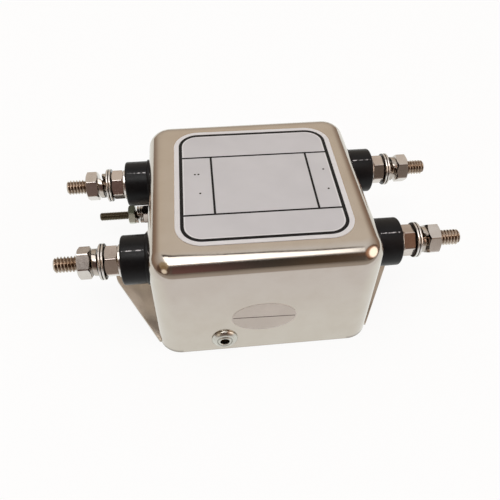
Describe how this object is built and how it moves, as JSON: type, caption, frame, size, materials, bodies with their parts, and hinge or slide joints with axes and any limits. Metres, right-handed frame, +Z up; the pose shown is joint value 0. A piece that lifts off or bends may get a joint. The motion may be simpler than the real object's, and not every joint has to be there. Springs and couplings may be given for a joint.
{
  "type": "emi line filter",
  "caption": "Single-phase line filter in a drawn metal can with insulated stud terminals on both sides, a ground stud and a base plate with screw ears",
  "frame": {"origin": "the middle of the can's underside, on the mounting plane", "axes": "+Z up, away from the mounting plane; +X along the studs towards the output side; +Y towards the back, so the riveted front with the oval sticker faces -Y"},
  "size_m": [0.1004, 0.0574, 0.0327],
  "materials": {
    "nickel_can": "bright nickel plate on deep-drawn steel, with soft, warm reflections",
    "plate_steel": "nickel-plated sheet steel",
    "rivet_aluminium": "bright aluminium blind rivet",
    "black_phenolic": "moulded black phenolic with a slight sheen",
    "bush_phenolic": "moulded black phenolic",
    "tinned_brass": "tin-plated brass sheet",
    "stud_nickel": "nickel-plated steel, rolled thread",
    "clamp_nut_nickel": "nickel-plated steel hexagon nut",
    "terminal_nut_nickel": "nickel-plated steel hexagon nut",
    "washer_nickel": "nickel-plated steel washer",
    "spring_steel": "plated spring steel",
    "ground_stud_steel": "yellow-passivated steel, fine thread",
    "ground_nut_zinc": "dull zinc plate",
    "ground_washer_nickel": "nickel-plated steel washer",
    "silver_label": "satin silver polyester label with a printed frame",
    "oval_sticker": "thin translucent polyester sticker",
    "pressboard": "electrical pressboard",
    "ferrite_coating": "ferrite ring with a green epoxy coat",
    "divider_plastic": "natural polyamide",
    "enamelled_copper": "enamelled copper wire",
    "film_capacitor": "yellow moulded box with tinned leads",
    "disc_capacitor": "blue epoxy-dipped ceramic disc with tinned leads",
    "resistor_coating": "lacquered film resistor with tinned leads"
  },
  "bodies": {
    "root": {"can": "nickel_can", "base_plate": "plate_steel", "rivet_front": "rivet_aluminium", "rivet_back": "rivet_aluminium", "insulator_line_in": "black_phenolic", "insulator_neutral_in": "black_phenolic", "insulator_line_out": "black_phenolic", "insulator_neutral_out": "black_phenolic", "inner_bush_line_in": "bush_phenolic", "inner_bush_neutral_in": "bush_phenolic", "inner_bush_line_out": "bush_phenolic", "inner_bush_neutral_out": "bush_phenolic", "solder_tag_line_in": "tinned_brass", "solder_tag_neutral_in": "tinned_brass", "solder_tag_line_out": "tinned_brass", "solder_tag_neutral_out": "tinned_brass", "stud_line_in": "stud_nickel", "stud_neutral_in": "stud_nickel", "stud_line_out": "stud_nickel", "stud_neutral_out": "stud_nickel", "seat_washers": "washer_nickel", "clamp_nut_line_in": "clamp_nut_nickel", "clamp_nut_neutral_in": "clamp_nut_nickel", "clamp_nut_line_out": "clamp_nut_nickel", "clamp_nut_neutral_out": "clamp_nut_nickel", "flat_washers_line_in": "washer_nickel", "flat_washers_neutral_in": "washer_nickel", "flat_washers_line_out": "washer_nickel", "flat_washers_neutral_out": "washer_nickel", "split_washer_line_in": "spring_steel", "split_washer_neutral_in": "spring_steel", "split_washer_line_out": "spring_steel", "split_washer_neutral_out": "spring_steel", "terminal_nut_line_in": "terminal_nut_nickel", "terminal_nut_neutral_in": "terminal_nut_nickel", "terminal_nut_line_out": "terminal_nut_nickel", "terminal_nut_neutral_out": "terminal_nut_nickel", "ground_stud": "ground_stud_steel", "ground_tag": "tinned_brass", "ground_toothed_washer": "ground_washer_nickel", "ground_seat_washer": "ground_washer_nickel", "ground_lock_washer": "ground_washer_nickel", "ground_clamp_nut": "clamp_nut_nickel", "ground_flat_washers": "ground_washer_nickel", "ground_split_washer": "ground_washer_nickel", "ground_nut": "ground_nut_zinc", "top_label": "silver_label", "inspection_sticker": "oval_sticker", "insulating_liner": "pressboard", "choke_core": "ferrite_coating", "choke_divider": "divider_plastic", "winding_line": "enamelled_copper", "winding_neutral": "enamelled_copper", "x_capacitor_in": "film_capacitor", "x_capacitor_out": "film_capacitor", "y_capacitor_line": "disc_capacitor", "y_capacitor_neutral": "disc_capacitor", "bleed_resistor": "resistor_coating"}
  },
  "joints": []
}
